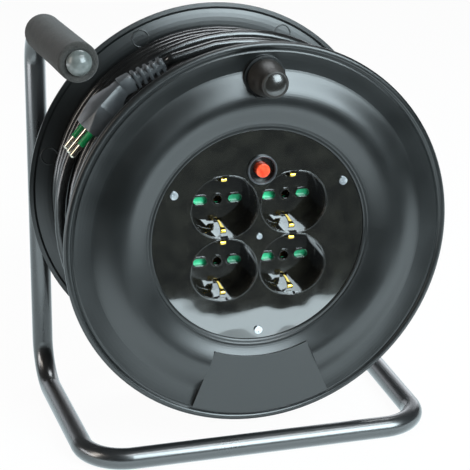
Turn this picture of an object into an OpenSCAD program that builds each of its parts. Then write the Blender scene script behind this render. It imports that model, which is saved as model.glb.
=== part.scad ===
// Extension cord reel: a moulded drum with four sockets, carried at its back by a bent tube frame.
// X runs to the right, Y to the back and Z up. The floor is at Z = 0, below the middle of the reel.

/* [Frame] */
// Outside diameter of the bent steel tube
tube_d = 14; // [12:0.5:16]
// Wall of the tube
tube_wall = 1.2; // [1:0.1:2]
// Radius of the tube's bends, along its middle
bend_r = 28; // [22:1:32]
// Gap between the drum's edge and the floor
drum_lift = 22.5; // [16:0.5:50]
// How far the grip's axis lies below the drum's top, at the back
grip_below = 13.2; // [0:0.1:15]
// Rise of the grip from its back to its free end
grip_rise = 6; // [0:0.5:12]
// Drum's front face to the front rail's axis
front_gap = 3.3; // [1:0.1:20]
// How far the upright's axis lies inside the drum's edge, seen from the front
left_inset = 9.7; // [0:0.1:12]
// How far the right rail's axis lies inside the drum's edge, seen from the front
right_inset = 4.8; // [0:0.1:10]
// How far the front end of each floor rail lies inside its back end
rail_toe = 4.2; // [0:0.1:8]

/* [Grip] */
// Outside diameter of the foam sleeve
foam_d = 24.5; // [20:0.5:30]
// Bare tube between the foam sleeve and the bend
foam_gap = 4.5; // [0:0.5:30]
// How far the grip's tube ends short of the drum's front face
grip_short = 3.5; // [-10:0.5:12]
// Diameter of the domed end cap
cap_d = 15.5; // [14.5:0.5:18]
// How far the cap's dome stands out
cap_rise = 5; // [3:0.5:8]

/* [Drum] */
// Outside diameter of the flanges
flange_d = 250; // [242:1:256]
// Width of the drum over the two rims
drum_w = 124; // [118:1:128]
// Outside diameter of the core that the cable winds on
core_d = 150; // [150:1:156]
// Wall of the core
core_wall = 2.6; // [2:0.1:3]
// Wall of the front flange's collar, that the socket panel fits in
collar_wall = 2.7; // [2:0.1:3]
// Thickness of the flange mouldings
flange_wall = 2.8; // [2.2:0.1:3.2]
// Height of the flange's round swell above its rim
swell_h = 3.2; // [2:0.2:5]
// Depth of the round dip between the swell and the rim
dip = 2.5; // [1.5:0.1:3]
// Outside diameter of the hub
hub_d = 26; // [24:1:32]
// Number of stiffening ribs inside the back flange
hub_ribs = 6; // [4:1:8]

/* [Axle] */
// Diameter of the axle bolt
axle_d = 12; // [10:0.5:14]
// Radial play of the bushes on the axle
axle_play = 0.05; // [0.02:0.01:0.1]
// Wall of the hub's bushes
bush_wall = 3; // [2:0.5:4]

/* [Sockets] */
// Thickness of the panel
panel_t = 3; // [2.5:0.5:4]
// Distance between sockets, sideways
pitch_x = 45; // [44:0.5:47]
// Distance between sockets, up and down
pitch_y = 41.4; // [41:0.2:44]
// Height of a socket's recess
recess_d = 39.2; // [39:0.1:39.6]
// How much wider than high a recess is
recess_extra = 3.2; // [0:0.2:3.4]
// Depth of a recess
recess_depth = 17.5; // [16:0.5:19]
// Diameter of the middle hole, for the earth pin
earth_hole_d = 5.5; // [5.4:0.1:6]
// Inner end of a side slot, from the middle hole's centre
slot_in = 6.9; // [6.7:0.1:7]
// Outer end of a side slot, from the middle hole's centre
slot_out = 15.8; // [15.6:0.1:16]
// Height of a side slot
slot_h = 5.2; // [5.1:0.1:5.4]
// From the panel's edge to its screws
screw_inset = 5.8; // [5:0.1:7]

/* [Cut-out] */
// Height of the cut-out's button above the panel's centre
button_y = 43.6; // [43:0.1:45]
// Offset of the button to the right
button_x = 1; // [0:0.1:2]
// Diameter of the reset button
button_d = 9; // [8:0.5:11]
// Travel of the reset button
button_travel = 3; // [1.5:0.1:3.4]
// Outside diameter of the ring round the button
ring_d = 19; // [18.6:0.2:20]

/* [Crank knob] */
// From the drum's edge to the knob's axis
knob_inset = 21; // [19:0.5:22]
// Diameter of the knob at its base
knob_base_d = 23; // [20:0.5:24]
// Diameter of the knob at its free end
knob_end_d = 17; // [15:0.5:18]
// Length of the knob
knob_len = 20.5; // [18:0.5:30]
// Diameter of the knob's spindle
spindle_d = 6; // [5:0.5:6.5]

/* [Cable and plug] */
// Diameter of the cable
cable_d = 6.8; // [6:0.1:7.2]
// Gap between neighbouring turns of cable
turn_gap = 0.5; // [0.45:0.05:0.7]
// Room between the full winding and the drum's edge
edge_room = 14; // [12:1:20]
// Thickness of the plug, from the drum outwards
plug_t = 15.6; // [14:0.2:17]
// Width of the plug, along its row of pins
plug_w = 26; // [25:0.5:28]
// Length of the plug's solid part
plug_len = 34; // [30:0.5:36]
// Diameter of the plug's pins
pin_d = 4; // [3.9:0.1:5]
// Length of the plug's pins
pin_len = 19; // [17:0.5:21]
// Distance between neighbouring pins
pin_pitch = 9.5; // [9.5:0.1:10]
// Length of the ribbed boot behind the plug
boot_len = 29; // [24:0.5:32]

/* [Hidden] */
$fn = 64;
// Play between pieces that are fitted together, and between pieces that stay apart
fit = 0.1;
apart = 0.3;

// Frame
// The tube's straights are a hair thicker than its bends and run a little way into them
bend_step = 0.03;
bend_lap = 1;
tube_r = tube_d / 2;
floor_z = tube_r + bend_step;
cross_drop = 18;
flange_r = flange_d / 2;
rim_z = drum_w / 2;
axle_h = flange_r + drum_lift;
cross_z = axle_h - cross_drop;
grip_h = axle_h + flange_r - grip_below;
left_reach = flange_r - left_inset;
right_reach = flange_r - right_inset;
front_reach = rim_z + front_gap;
// The hub, a washer, the clamp nut and the bracket stand one behind the other, then the cross tube
hub_back = -rim_z + 0.1;
nut_t = 5;
washer_t = 1.4;
bracket_t = 4.5;
bracket_front = -hub_back + apart + washer_t + nut_t;
bracket_back = bracket_front + bracket_t;
back_reach = bracket_back + tube_r - 1;
grip_end = [-left_reach + 2.3, -rim_z + grip_short, grip_h + grip_rise];
top_corner = [-left_reach, back_reach, grip_h];
frame_path = [grip_end, top_corner, [-left_reach, back_reach, floor_z],
    [-left_reach + rail_toe, -front_reach, floor_z],
    [right_reach - rail_toe, -front_reach, floor_z],
    [right_reach, back_reach, floor_z], [right_reach, back_reach, cross_z],
    [-left_reach, back_reach, cross_z]];
grip_dir = unit(top_corner - grip_end);
foam_len = norm(top_corner - grip_end) - cut_of(frame_path, 1) - foam_gap - 0.4;

// Drum, with its own axes: x to the right, y up and z to the front, from the axle
rim_bead = 2.2;
face_z = rim_z - 5;
core_r = core_d / 2;
collar_r = core_r - core_wall - fit;
well_r = collar_r - collar_wall;
panel_d = 2 * (well_r - 0.2);
screw_circle = panel_d / 2 - screw_inset;
knob_circle = flange_r - knob_inset;
pad_z = rim_z + 1.3;
pad_from = -112;
pad_to = -66.5;
panel_z = rim_z - 4.3;
panel_back = panel_z - panel_t;
dip_r = flange_r - 17;
dip_arc = 45;
swell_r = (dip_r + well_r + 2.8) / 2;
swell_half = (dip_r - well_r - 2.8) / 2;
hub_r = hub_d / 2;
axle_r = axle_d / 2;
bore_r = axle_r + axle_play;
bush_r = bore_r + bush_wall;
hub_front = -12;
nut_across = axle_d + 6;
bolt_head = 7.5;
plate_z = face_z + 0.4;
plate_t = 3;
tie_hole_r = 2.2;
boss_circle = well_r - 5.6;
front_boss_z = 15;
tie_bite = 16.6;
boss_angles = [90, 210, 330];

// Sockets
sockets = [[-1, 1], [1, 1], [-1, -1], [1, -1]];
cup_floor = panel_z - recess_depth;
cup_back = cup_floor - 2.5;
cup_wall = 1.4;
bead_w = 0.55;
bead_h = 0.35;
collar_h = 0.6;
shutter_t = 2;
shutter_lap = 0.5;
shutter_low = slot_h / 2 + 3.5;
shutter_travel = slot_h + shutter_lap + 0.1;
spring_room = 10;
spring_x = -8.9;
spring_coil_r = 1.2;
contact_ring_r = earth_hole_d / 2 + 0.9;
pocket_depth = 3.4;
carrier_z = cup_back - apart;
carrier_t = 12;
carrier_r = 55;
contact_top = carrier_z - pocket_depth - 2;
bar_t = 1;
bar_w = 6;
line_z = carrier_z - carrier_t - 2;
neutral_z = line_z - 3;
earth_z = neutral_z - 3;
contact_x = (slot_in + slot_out) / 2;
clip_w = 4;
screw_angles = [30.7, 150.6, 270.4];
panel_screw_r = 1.3;
panel_screw_long = 14;
centre_screw_r = 1.05;

// Cut-out
cutout_r = ring_d / 2 - 0.5;
cutout_well_r = cutout_r - 0.8;
well_depth = 3;
// At full travel the button's face is level with the panel
button_top = panel_z + button_travel + 0.1;
button_long = 13.6;
button_room = 16;
button_spring_r = 3;
button_wire_r = 0.4;

// Knob
boss_z = rim_z + 1.5;
boss_r = 13;
knob_z = boss_z + apart;
pocket_r = 6.6;
pocket_z = knob_z + knob_len - 5.8;

// Cable
cable_r = cable_d / 2;
lay = cable_d + turn_gap;
steps = 24;
wound_d = flange_d - 2 * edge_room;
layer_turns = floor((2 * (face_z - apart - 0.1) - cable_d) / lay);
layer_r = wound_d / 2 - cable_r;
top_r = layer_r + lay;
pack_r = layer_r * cos(180 / steps) - cable_r - apart;
back_z = -face_z + apart + 0.1 + cable_r;
boot_angle = 116.5;
boot_r = top_r + 2.3;
plug_angle = 139;
plug_r = wound_d / 2 + 0.6 + plug_t / 2;
plug_z = 20;
turn_between = plug_angle - boot_angle;
plug_back = (plug_r * cos(turn_between) - boot_r) / sin(turn_between);
boot_front = (plug_r - boot_r * cos(turn_between)) / sin(turn_between);
plug_front = plug_back + plug_len;
climb_start = 1.6;
climb_end = 1.75;
loops = climb_start + layer_turns;

// Where the cable's inner end comes through the core and is clamped under the panel's ledge
lead_angle = 180;
lead_z = face_z - 19;
clamp_r = core_r - 17.5;
clamp_l = 10;
clamp_w = 22;
clamp_h = 6;
clamp_gap = 0.4;
clamp_pitch = 14;

// Directions, angles and curves
function unit(v) = v / norm(v);
function euler(u, v, w) = abs(u[2]) > 0.9999
    ? [atan2(-u[2] * v[0], v[1]), -90 * sign(u[2]), 0]
    : [atan2(v[2], w[2]), asin(-u[2]), atan2(u[1], u[0])];
function arc(cx, cy, r, from, to, n) =
    [for (i = [0 : n]) [cx + r * cos(from + (to - from) * i / n),
        cy + r * sin(from + (to - from) * i / n)]];
function ease(t) = t <= 0 ? 0 : t >= 1 ? 1 : t * t * (3 - 2 * t);
function around(r, a, z) = [r * cos(a), r * sin(a), z];

// A rod of radius r along a path with round corners
function turn_of(p, i) = acos(unit(p[i] - p[i - 1]) * unit(p[i + 1] - p[i]));
function cut_of(p, i) =
    i == 0 || i == len(p) - 1 ? 0 : bend_r * tan(turn_of(p, i) / 2);
module straight_rod(a, b, r) {
    v = b - a;
    translate(a) rotate([0, acos(v[2] / norm(v)), atan2(v[1], v[0])]) cylinder(h = norm(v), r = r);
}
module corner_rod(p, i, r) {
    d1 = unit(p[i] - p[i - 1]);
    d2 = unit(p[i + 1] - p[i]);
    n = unit(d2 - d1 * (d1 * d2));
    start = p[i] - d1 * cut_of(p, i);
    translate(start + n * bend_r)
        rotate(euler(-n, d1, cross(-n, d1)))
            rotate_extrude(angle = turn_of(p, i)) translate([bend_r, 0]) circle(r);
}
module bent_rod(p, r) {
    for (i = [0 : len(p) - 2]) {
        d = unit(p[i + 1] - p[i]);
        straight_rod(p[i] + d * max(0, cut_of(p, i) - bend_lap),
            p[i + 1] - d * max(0, cut_of(p, i + 1) - bend_lap), r + bend_step);
    }
    for (i = [1 : len(p) - 2]) corner_rod(p, i, r);
}

// A tube with flat ends along a list of centre points
function along(p, i) = i == 0 ? unit(p[1] - p[0])
    : i == len(p) - 1 ? unit(p[i] - p[i - 1])
    : unit(unit(p[i + 1] - p[i]) + unit(p[i] - p[i - 1]));
function ring(p, i, r, sides, up) =
    let (t = along(p, i), b = unit(cross(t, up)), n = cross(b, t))
    [for (k = [0 : sides - 1]) p[i] + r * (n * cos(360 * k / sides) + b * sin(360 * k / sides))];
module swept_tube(p, r, sides, ups) {
    rings = len(p);
    points = [for (i = [0 : rings - 1]) each ring(p, i, r, sides, ups[i])];
    sides_a = [for (i = [0 : rings - 2]) for (k = [0 : sides - 1])
        [i * sides + k, (i + 1) * sides + k, (i + 1) * sides + (k + 1) % sides]];
    sides_b = [for (i = [0 : rings - 2]) for (k = [0 : sides - 1])
        [i * sides + k, (i + 1) * sides + (k + 1) % sides, i * sides + (k + 1) % sides]];
    first = [for (k = [1 : sides - 2]) [0, k, k + 1]];
    last = [for (k = [1 : sides - 2]) [(rings - 1) * sides, (rings - 1) * sides + k + 1,
        (rings - 1) * sides + k]];
    polyhedron(points, concat(sides_a, sides_b, first, last));
}

// The drum's own axes
module on_drum() {
    translate([0, 0, axle_h]) rotate([90, 0, 0]) children();
}
module hexagon(across, h) {
    cylinder(h = h, r = across / 2 / cos(30), $fn = 6);
}
module oval(half_h, extra) {
    translate([-extra / 2, 0]) circle(half_h);
    translate([extra / 2, 0]) circle(half_h);
    square([extra, 2 * half_h], center = true);
}
module slot(from, to, h) {
    translate([from + h / 2, 0]) circle(d = h);
    translate([to - h / 2, 0]) circle(d = h);
    translate([from + h / 2, -h / 2]) square([to - from - h, h]);
}
module at_socket(s) {
    translate([s[0] * pitch_x / 2, s[1] * pitch_y / 2, 0]) children();
}
module at_sockets() {
    for (s = sockets) at_socket(s) children();
}
module pan_screw(head_r, head_h, shank_r, shank_len) {
    difference() {
        union() {
            cylinder(h = head_h, r = head_r);
            translate([0, 0, -shank_len]) cylinder(h = shank_len, r = shank_r);
        }
        for (a = [0, 90]) rotate([0, 0, a])
            translate([-head_r * 0.6, -head_r * 0.12, head_h * 0.45])
                cube([head_r * 1.2, head_r * 0.24, head_h]);
    }
}

// ---- Frame ----
module frame_tube() {
    inner = [for (i = [0 : 7]) i == 0 ? grip_end - grip_dir
        : i == 7 ? [-left_reach + tube_r, back_reach, cross_z] : frame_path[i]];
    color("#1b1c1e") difference() {
        bent_rod(frame_path, tube_r);
        bent_rod(inner, tube_r - tube_wall);
    }
}
module foam_grip() {
    lip = 1.5;
    color("#3a3b3c") translate(grip_end + grip_dir * 0.4)
        rotate([0, acos(grip_dir[2]), atan2(grip_dir[1], grip_dir[0])])
            rotate_extrude() polygon(concat(
                [[tube_r + fit, 0]],
                arc(foam_d / 2 - lip, lip, lip, -90, 0, 4),
                arc(foam_d / 2 - lip, foam_len - lip, lip, 0, 90, 4),
                [[tube_r + fit, foam_len]]));
}
module grip_end_cap() {
    stem = 9;
    dome_r = (cap_d * cap_d / 4 + cap_rise * cap_rise) / (2 * cap_rise);
    half = asin(cap_d / 2 / dome_r);
    color("#a9adb0") translate(grip_end)
        rotate([0, acos(-grip_dir[2]), atan2(-grip_dir[1], -grip_dir[0])])
            rotate_extrude() polygon(concat(
                [[0, -stem], [tube_r - tube_wall - fit, -stem], [tube_r - tube_wall - fit, 0],
                    [cap_d / 2, 0], [cap_d / 2, 1]],
                arc(0, 1 + cap_rise - dome_r, dome_r, 90 - half, 90, 8)));
}
module axle_bracket() {
    w = 54;
    top = 17;
    bottom = cross_drop + 10;
    corner = 7;
    color("#1f2022") difference() {
        translate([0, bracket_back, axle_h]) rotate([90, 0, 0]) linear_extrude(bracket_t)
            difference() {
                union() {
                    translate([-w / 2, -bottom + corner]) square([w, top + bottom - 2 * corner]);
                    translate([-w / 2 + corner, -bottom]) square([w - 2 * corner, top + bottom]);
                    for (x = [-1, 1]) {
                        translate([x * (w / 2 - corner), top - corner]) circle(corner);
                        translate([x * (w / 2 - corner), -bottom + corner]) circle(corner);
                    }
                }
                circle(axle_r + fit);
            }
        translate([-w, back_reach, cross_z]) rotate([0, 90, 0])
            cylinder(h = 2 * w, r = tube_r + bend_step + 0.05);
    }
}
module axle_bolt() {
    tip = -hub_front - washer_t - apart - nut_t - 3;
    color("#9a9da0") on_drum() {
        translate([0, 0, -bracket_back - bolt_head]) hexagon(nut_across, bolt_head);
        translate([0, 0, -bracket_back]) cylinder(h = bracket_back - tip - 1, r = axle_r);
        translate([0, 0, -tip - 1]) cylinder(h = 1, r1 = axle_r, r2 = axle_r - 1);
    }
}
module axle_jam_nut() {
    color("#9a9da0") on_drum() translate([0, 0, -bracket_front]) difference() {
        hexagon(nut_across, nut_t);
        translate([0, 0, -1]) cylinder(h = nut_t + 2, r = axle_r + 0.02);
    }
}
module axle_lock_nut() {
    color("#9a9da0") on_drum() translate([0, 0, hub_front + apart + washer_t]) difference() {
        hexagon(nut_across, nut_t);
        translate([0, 0, -1]) cylinder(h = nut_t + 2, r = axle_r + 0.02);
    }
}
module thrust_washers() {
    back = -bracket_front + nut_t;
    color("#b7babd") on_drum() difference() {
        union() {
            translate([0, 0, back]) cylinder(h = washer_t, r = hub_r - 1);
            translate([0, 0, hub_front + apart]) cylinder(h = washer_t, r = hub_r - 1);
        }
        translate([0, 0, -2 * rim_z]) cylinder(h = 3 * rim_z, r = axle_r + fit);
    }
}

// ---- Drum ----
// Outline of a flange: rim bead, groove, dip, round swell and the bead round the panel
function dip_z(r) = rim_z - dip + pow(max(0, r - dip_r), 2) / (2 * dip_arc);
function swell_z(r) = dip_z(0) + (swell_h + dip)
    * pow(0.5 + 0.5 * cos(180 * (r - swell_r) / swell_half), 0.7);
function swell_line(from, to, n, down) =
    [for (i = [0 : n]) let (r = from + (to - from) * i / n) [r, swell_z(r) - down]];
function dip_line(from, to, n, down) =
    [for (i = [0 : n]) let (r = from + (to - from) * i / n) [r, dip_z(r) - down]];
function outside_line() = concat(
    arc(flange_r - rim_bead, rim_z - rim_bead, rim_bead, 0, 150, 8),
    [[flange_r - 4.7, rim_z - 1.6], [flange_r - 5.5, rim_z - 1.6]],
    dip_line(flange_r - 6.2, dip_r + 2, 4, 0),
    swell_line(dip_r, swell_r - swell_half, 26, 0),
    [[well_r + 2.2, panel_z + 1.3], [well_r + 0.8, panel_z + 1.3], [well_r, panel_z + 0.7]]);
function inside_line() =
    let (hollow = [for (p = swell_line(swell_r - swell_half, dip_r, 26, flange_wall))
        if (p[1] > face_z + 0.2) p])
    concat([[hollow[0][0] - 0.4, face_z]], hollow, [[hollow[len(hollow) - 1][0] + 0.4, face_z]],
        dip_line(dip_r, flange_r - 4, 5, rim_z - dip - face_z),
        [[flange_r - 2.6, face_z + 1.4], [flange_r, face_z + 1.8]]);
module ejector_marks() {
    r = flange_r - 11;
    for (i = [0 : 6]) rotate([0, 0, 115 + i * 360 / 7])
        translate([r, 0, dip_z(r) - rim_z + dip + face_z])
            rotate([0, -atan((r - dip_r) / dip_arc), 0]) translate([0, 0, -0.2]) difference() {
                cylinder(h = 1.6, r = 6);
                translate([0, 0, -1]) cylinder(h = 3, r = 5.3);
            }
}
module boss_tube(angle, r_out, r_in, from, to) {
    rotate([0, 0, angle]) translate([boss_circle, 0, from]) difference() {
        cylinder(h = to - from, r = r_out);
        translate([0, 0, -1]) cylinder(h = to - from + 2, r = r_in);
    }
}
// The label pad is a piece of a ring, level with the swell's shoulders
module pad_outline(grow) {
    middle = (pad_from + pad_to) / 2;
    tip = -grow / sin((pad_to - pad_from) / 2) * [cos(middle), sin(middle)];
    difference() {
        intersection() {
            circle(flange_r - 6.4 + min(grow, 0));
            translate(tip) polygon([[0, 0], 2 * flange_r * [cos(pad_from), sin(pad_from)],
                2 * flange_r * [cos(pad_to), sin(pad_to)]]);
        }
        circle(swell_r - swell_half + 7 - grow);
    }
}
module front_flange() {
    ledge_in = 57;
    color("#2b2c2e") on_drum() difference() {
        union() {
            rotate_extrude($fn = 120) polygon(concat(
                outside_line(), [[well_r, face_z - 12], [collar_r, face_z - 12],
                    [collar_r, face_z]], inside_line()));
            translate([0, 0, panel_back - 3]) difference() {
                cylinder(h = 3, r = well_r + 1);
                translate([0, 0, -1]) cylinder(h = 5, r = ledge_in);
            }
            for (a = screw_angles) rotate([0, 0, a])
                translate([screw_circle, 0, panel_back - panel_screw_long - 2])
                    cylinder(h = panel_screw_long + 1, r = 4);
            for (a = boss_angles) boss_tube(a, 4.8, 1.7, front_boss_z, panel_back - 1);
            intersection() {
                translate([0, 0, pad_z - flange_wall]) linear_extrude(9)
                    pad_outline(flange_wall);
                rotate_extrude($fn = 120) polygon(concat(
                    outside_line(), [[well_r, face_z], [flange_r, face_z]]));
            }
            translate([0, 0, face_z + 1]) linear_extrude(pad_z - face_z - 1) pad_outline(0);
            translate([0, knob_circle, face_z]) cylinder(h = boss_z - face_z, r = boss_r);
            at_clamp() translate([0, -clamp_w / 2, clamp_gap])
                cube([clamp_l, clamp_w, panel_back - 2 - lead_z]);
        }
        at_clamp() {
            lead_rod(cable_r + 0.02);
            clamp_holes(1.3);
        }
        translate([0, 0, pad_z]) linear_extrude(20) pad_outline(0);
        translate([0, 0, face_z - 1]) linear_extrude(pad_z - flange_wall - face_z + 1)
            pad_outline(-flange_wall);
        translate([0, knob_circle, boss_z]) cylinder(h = 20, r = boss_r);
        for (a = screw_angles) rotate([0, 0, a])
            translate([screw_circle, 0, panel_back - panel_screw_long])
                cylinder(h = 20, r = panel_screw_r + fit);
        translate([0, knob_circle, face_z - 1]) {
            cylinder(h = 20, r = spindle_d / 2 + fit);
            cylinder(h = 4.4, r = 6.2);
        }
    }
}
module rear_flange() {
    color("#2b2c2e") on_drum() mirror([0, 0, 1]) difference() {
        union() {
            rotate_extrude($fn = 120) polygon(concat(
                outside_line(), [[well_r, plate_z], [hub_r - 1, plate_z],
                    [hub_r - 1, plate_z - plate_t], [well_r - 0.4, plate_z - plate_t],
                    [well_r - 0.4, face_z - 12], [collar_r, face_z - 12], [collar_r, face_z]],
                inside_line()));
            translate([0, 0, -hub_front]) cylinder(h = -hub_back + hub_front, r = hub_r);
            for (i = [0 : hub_ribs - 1]) rotate([0, 0, (i + 0.5) * 360 / hub_ribs])
                translate([hub_r - 1, -1.2, plate_z - 20]) cube([well_r - hub_r, 2.4, 18]);
            for (a = boss_angles) boss_tube(a, 4.8, tie_hole_r, 0.2 - front_boss_z, plate_z - 2);
            ejector_marks();
        }
        translate([0, 0, -hub_front - 1]) cylinder(h = 3 * rim_z, r = bush_r + 0.02);
        for (a = boss_angles) rotate([0, 0, a]) translate([boss_circle, 0, plate_z - plate_t]) {
            translate([0, 0, -2 * rim_z]) cylinder(h = 3 * rim_z, r = tie_hole_r);
            cylinder(h = 8, r = 3.8);
        }
    }
}
module drum_core() {
    color("#26272a") on_drum() difference() {
        translate([0, 0, -face_z]) cylinder(h = 2 * face_z, r = core_r, $fn = 120);
        translate([0, 0, -face_z - 1]) cylinder(h = 2 * face_z + 2, r = core_r - core_wall, $fn = 120);
        rotate([0, 0, lead_angle]) translate([core_r - 6, 0, lead_z]) rotate([0, 90, 0])
            cylinder(h = 12, r = cable_r + apart);
    }
}
module hub_bushes() {
    long = 14;
    color("#d8d4c8") on_drum() for (z = [hub_back, hub_front - long])
        translate([0, 0, z]) difference() {
            cylinder(h = long, r = bush_r);
            translate([0, 0, -1]) cylinder(h = long + 2, r = bore_r);
        }
}
module tie_screws() {
    head = plate_t - plate_z;
    color("#a9adb0") on_drum() for (a = boss_angles)
        rotate([0, 0, a]) translate([boss_circle, 0, head]) mirror([0, 0, 1])
            pan_screw(3.5, 2.4, 1.6, front_boss_z - head + tie_bite);
}

// ---- Sockets ----
module socket_panel() {
    lip = 0.5;
    color("#161719") on_drum() difference() {
        union() {
            translate([0, 0, panel_back]) cylinder(h = panel_t, r = panel_d / 2, $fn = 120);
            at_sockets() {
                translate([0, 0, cup_back]) linear_extrude(panel_back - cup_back + 1)
                    oval(recess_d / 2 + cup_wall, recess_extra);
                translate([0, 0, panel_z - 1]) linear_extrude(1 + bead_h)
                    oval(recess_d / 2 + lip + bead_w, recess_extra);
            }
        }
        at_sockets() {
            difference() {
                translate([0, 0, cup_floor]) linear_extrude(recess_depth + 1)
                    oval(recess_d / 2, recess_extra);
                translate([0, 0, cup_floor - 1]) {
                    cylinder(h = 1 + collar_h, r = earth_hole_d / 2 + 1.3);
                    for (a = [0, 180]) rotate([0, 0, a]) linear_extrude(1 + collar_h)
                        slot(slot_in - 1, slot_out + 1, slot_h + 2);
                }
            }
            translate([0, 0, panel_z - 0.8]) linear_extrude(2)
                oval(recess_d / 2 + lip, recess_extra);
            translate([0, 0, cup_back - 1]) {
                cylinder(h = 6, r = earth_hole_d / 2);
                for (a = [0, 180]) rotate([0, 0, a]) linear_extrude(6)
                    slot(slot_in, slot_out, slot_h);
            }
            for (a = [0, 180]) rotate([0, 0, a]) {
                translate([-clip_w / 2 - 0.4, recess_d / 2 - 1.2, panel_back + 0.3])
                    cube([clip_w + 0.8, 2.4, 6]);
                translate([-clip_w / 2 - 0.3, 12.2, cup_back - 1]) cube([clip_w + 0.6, 3, 5]);
            }
        }
        translate([button_x, button_y, panel_back - 20]) cylinder(h = 40, r = cutout_r + fit);
        for (a = screw_angles) rotate([0, 0, a])
            translate([screw_circle, 0, panel_back - 1]) cylinder(h = 20, r = panel_screw_r + apart);
        translate([0, 0, panel_back - 1]) cylinder(h = 20, r = centre_screw_r + apart);
    }
}
module earth_clips() {
    // Each strip bulges out of the recess's wall, leans back and goes through the floor
    wall = recess_d / 2 - 0.3;
    inner = [[wall, panel_z - 4.9], [wall - 1.2, panel_z - 3.1], [wall - 2.6, panel_z - 2.6],
        [wall - 3.6, panel_z - 3.6], [wall - 4, panel_z - 5.4], [14.6, panel_z - 9.5],
        [13.5, panel_z - 13.5], [13.4, cup_floor], [13.4, earth_z + bar_t]];
    outer = [[14.2, earth_z + bar_t], [14.2, cup_floor], [14.3, panel_z - 13.3],
        [15.4, panel_z - 9.5], [wall - 3.2, panel_z - 5.4], [wall - 2.9, panel_z - 4],
        [wall - 2.4, panel_z - 3.5], [wall - 1.7, panel_z - 3.8], [wall - 0.6, panel_z - 5.4]];
    color("#c8a04a") on_drum() at_sockets() for (a = [0, 180])
        rotate([0, 0, a]) rotate([90, 0, 90]) translate([0, 0, -clip_w / 2])
            linear_extrude(clip_w) polygon(concat(inner, outer));
}
module shutter_shape(grow, drop) {
    wide = slot_out + 1.2 + grow;
    high = slot_h / 2 + shutter_lap;
    notch = earth_hole_d / 2 + 0.8 - grow;
    difference() {
        translate([-wide, -shutter_low - drop - grow])
            square([2 * wide, shutter_low + drop + high + 2 * grow]);
        translate([-notch, -high + grow]) square([2 * notch, 20]);
    }
}
module contact_carrier() {
    color("#8f8b80") on_drum() difference() {
        translate([0, 0, carrier_z - carrier_t]) cylinder(h = carrier_t, r = carrier_r);
        at_sockets() {
            translate([0, 0, carrier_z - shutter_t - 0.4]) linear_extrude(5)
                shutter_shape(apart, shutter_travel);
            translate([spring_x - 1.8, -shutter_low - spring_room - 0.1, carrier_z - pocket_depth])
                cube([3.6, spring_room + 3, 6]);
            translate([0, 0, carrier_z - carrier_t - 1]) {
                cylinder(h = 30, r = contact_ring_r + apart);
                for (a = [0, 180]) rotate([0, 0, a]) linear_extrude(30)
                    slot(slot_in - 1.1, slot_out + 1.1, slot_h + 2.2);
                for (a = [0, 180]) rotate([0, 0, a])
                    translate([-clip_w / 2 - apart, 13.1, 0]) cube([clip_w + 2 * apart, 1.6, 30]);
            }
        }
        translate([button_x - 12.4, button_y - 9.4, carrier_z - carrier_t - 1]) cube([24.8, 40, 40]);
        translate([0, 0, carrier_z - 20]) cylinder(h = 30, r = centre_screw_r + 0.05);
    }
}
module bar(xs, z, reach) {
    translate([0, 0, z]) {
        for (x = xs) translate([x - bar_w / 2, -pitch_y / 2 - reach, 0])
            cube([bar_w, pitch_y + 2 * reach, bar_t]);
        translate([min(xs), -bar_w / 2, 0]) cube([max(xs) - min(xs), bar_w, bar_t]);
    }
}
module side_contacts(side, z) {
    at_sockets() rotate([0, 0, side > 0 ? 0 : 180]) translate([0, 0, z]) difference() {
        linear_extrude(contact_top - z)
            slot(slot_in - 0.8, slot_out + 0.8, slot_h + 1.6);
        translate([0, 0, bar_t]) linear_extrude(30) slot(slot_in, slot_out, slot_h);
    }
}
module line_busbar() {
    color("#c8a04a") on_drum() {
        bar([-pitch_x / 2 - contact_x, pitch_x / 2 - contact_x], line_z, 4);
        side_contacts(-1, line_z);
    }
}
module neutral_busbar() {
    color("#c8a04a") on_drum() {
        bar([-pitch_x / 2 + contact_x, pitch_x / 2 + contact_x], neutral_z, 4);
        side_contacts(1, neutral_z);
    }
}
module earth_busbar() {
    color("#c8a04a") on_drum() {
        bar([-pitch_x / 2, pitch_x / 2], earth_z, 14.6);
        at_sockets() translate([0, 0, earth_z]) difference() {
            cylinder(h = contact_top - earth_z, r = contact_ring_r);
            translate([0, 0, bar_t]) cylinder(h = 40, r = earth_hole_d / 2);
        }
    }
}
module shutter(s) {
    color("#2fae72") on_drum() at_socket(s) translate([0, 0, carrier_z - shutter_t])
        linear_extrude(shutter_t) shutter_shape(0, 0);
}
module shutter_spring(s) {
    turns = 5;
    wire = 0.25;
    y0 = -shutter_low - spring_room + 0.3;
    n = turns * 8;
    line = [for (i = [0 : n]) [spring_x + spring_coil_r * cos(i * 45),
        y0 + (spring_room - 0.6) * i / n,
        carrier_z - pocket_depth / 2 + spring_coil_r * sin(i * 45) - 0.1]];
    color("#b7babd") on_drum() at_socket(s)
        swept_tube(line, wire, 6, [for (i = [0 : n]) [0, 1, 0.01]]);
}

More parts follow.
